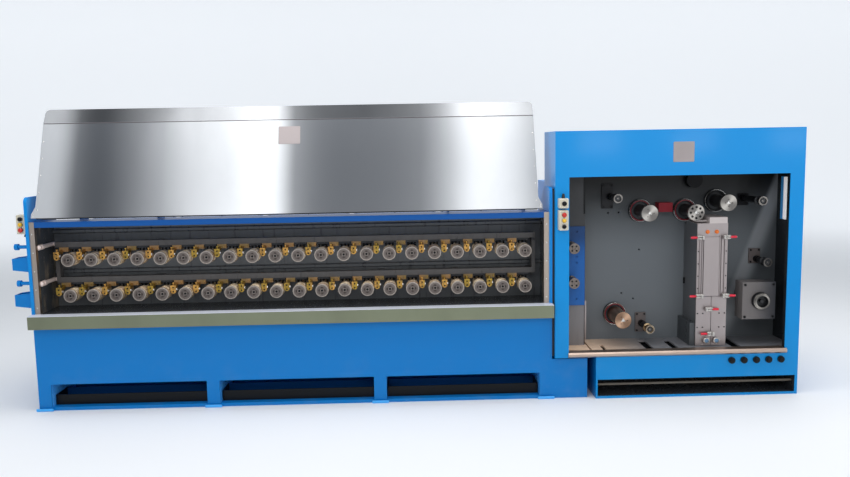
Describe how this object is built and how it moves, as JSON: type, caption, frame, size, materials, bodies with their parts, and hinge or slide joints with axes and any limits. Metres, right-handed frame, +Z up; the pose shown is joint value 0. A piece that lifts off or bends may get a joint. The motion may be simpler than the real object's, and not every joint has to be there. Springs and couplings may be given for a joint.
{
  "type": "wire drawing machine",
  "caption": "Multi-wire drawing machine: wet chamber with two rows of capstans under a lifting hood, joined to an annealer cabinet.",
  "frame": {"origin": "on the floor under the middle of the machine, length and depth", "axes": "+X along the machine towards the annealer cabinet, -Y towards the operator, +Z up"},
  "size_m": [5.695, 1.266, 2.1764],
  "materials": {
    "blue_paint": "azure gloss enamel on sheet steel",
    "blue_paint_dark": "azure enamel, in the shade",
    "stainless": "brushed stainless sheet",
    "grey_paint": "satin grey paint",
    "dark_grey": "dark grey paint, wet with drawing fluid",
    "black_steel": "black, oily",
    "turned_steel": "turned hardened steel",
    "brass": "cast brass",
    "machine_plastic": "cream plastic station box",
    "galvanised": "galvanised pipe",
    "aluminium": "milled aluminium plate"
  },
  "bodies": {
    "root": {"draw_base": "blue_paint", "base_feet": "blue_paint", "base_troughs": "black_steel", "drip_ledge": "stainless", "end_plates": "blue_paint", "jamb_strips": "stainless", "chamber_back": "dark_grey", "chamber_roof": "blue_paint_dark", "spray_headers": "dark_grey", "die_holders": "brass", "drawing_capstans": "turned_steel", "supply_pipes": "galvanised", "wire_inlets": "blue_paint", "push_stations": "machine_plastic", "hood_stands": "blue_paint", "gear_housing": "blue_paint", "service_covers": "blue_paint_dark", "cabinet_shell": "blue_paint", "cabinet_base": "blue_paint", "air_fittings": "black_steel", "annealer_back_plate": "grey_paint", "annealer_floor": "grey_paint", "window_lip": "stainless", "drawoff_housing": "grey_paint", "drawoff_plate": "blue_paint_dark", "wheel_mounts": "dark_grey", "tube_housing": "grey_paint", "tube_covers": "aluminium", "side_box": "dark_grey", "roller_block": "grey_paint", "drive_housing": "blue_paint"},
    "hood_arms": {"hood_arms": "blue_paint"},
    "hood": {"hood": "stainless", "hood_lugs": "stainless"},
    "drawoff_capstan_upper": {"drawoff_capstan_upper": "turned_steel"},
    "drawoff_capstan_lower": {"drawoff_capstan_lower": "turned_steel"},
    "block_roller": {"block_roller": "turned_steel"},
    "contact_wheel_1": {"contact_wheel_1": "turned_steel"},
    "guide_roller_1": {"guide_roller_1": "dark_grey"},
    "contact_wheel_2": {"contact_wheel_2": "turned_steel"},
    "guide_roller_2": {"guide_roller_2": "dark_grey"},
    "contact_wheel_3": {"contact_wheel_3": "turned_steel"},
    "guide_roller_3": {"guide_roller_3": "dark_grey"},
    "contact_wheel_4": {"contact_wheel_4": "turned_steel"},
    "guide_roller_4": {"guide_roller_4": "dark_grey"}
  },
  "joints": [
    {"name": "hood_lift", "type": "hinge", "parent": "root", "child": "hood_arms", "pos_m": [-0.8275, 0.00741, 1.58385], "axis": [1, 0, 0], "range_deg": [0, 80.22]},
    {"name": "hood_tilt", "type": "hinge", "parent": "hood_arms", "child": "hood", "pos_m": [-0.8275, -0.2357, 2.04691], "axis": [1, 0, 0], "range_deg": [-59.82, 0.1]},
    {"name": "wheel_1_spin", "type": "hinge", "parent": "root", "child": "contact_wheel_1", "pos_m": [1.7775, -0.347, 1.345], "axis": [0, 1, 0], "continuous": true},
    {"name": "wheel_2_spin", "type": "hinge", "parent": "root", "child": "contact_wheel_2", "pos_m": [2.1195, -0.347, 1.343], "axis": [0, 1, 0], "continuous": true},
    {"name": "wheel_3_spin", "type": "hinge", "parent": "root", "child": "contact_wheel_3", "pos_m": [2.3575, -0.347, 1.41], "axis": [0, 1, 0], "continuous": true},
    {"name": "wheel_4_spin", "type": "hinge", "parent": "root", "child": "contact_wheel_4", "pos_m": [1.5895, -0.347, 0.55], "axis": [0, 1, 0], "continuous": true},
    {"name": "roller_1_spin", "type": "hinge", "parent": "root", "child": "guide_roller_1", "pos_m": [1.5475, -0.347, 1.455], "axis": [0, 1, 0], "continuous": true},
    {"name": "roller_2_spin", "type": "hinge", "parent": "root", "child": "guide_roller_2", "pos_m": [2.5705, -0.347, 1.426], "axis": [0, 1, 0], "continuous": true},
    {"name": "roller_3_spin", "type": "hinge", "parent": "root", "child": "guide_roller_3", "pos_m": [2.6855, -0.347, 0.954], "axis": [0, 1, 0], "continuous": true},
    {"name": "roller_4_spin", "type": "hinge", "parent": "root", "child": "guide_roller_4", "pos_m": [1.8005, -0.347, 0.47], "axis": [0, 1, 0], "continuous": true},
    {"name": "drawoff_upper_spin", "type": "hinge", "parent": "root", "child": "drawoff_capstan_upper", "pos_m": [1.2115, -0.397, 1.103], "axis": [0, 1, 0], "continuous": true},
    {"name": "drawoff_lower_spin", "type": "hinge", "parent": "root", "child": "drawoff_capstan_lower", "pos_m": [1.2115, -0.397, 0.847], "axis": [0, 1, 0], "continuous": true},
    {"name": "block_roller_spin", "type": "hinge", "parent": "root", "child": "block_roller", "pos_m": [2.5965, -0.427, 0.683], "axis": [0, 1, 0], "continuous": true}
  ],
  "couplings": [
    {"joint": "hood_tilt", "follows": "hood_lift", "ratio": -0.74445}
  ]
}
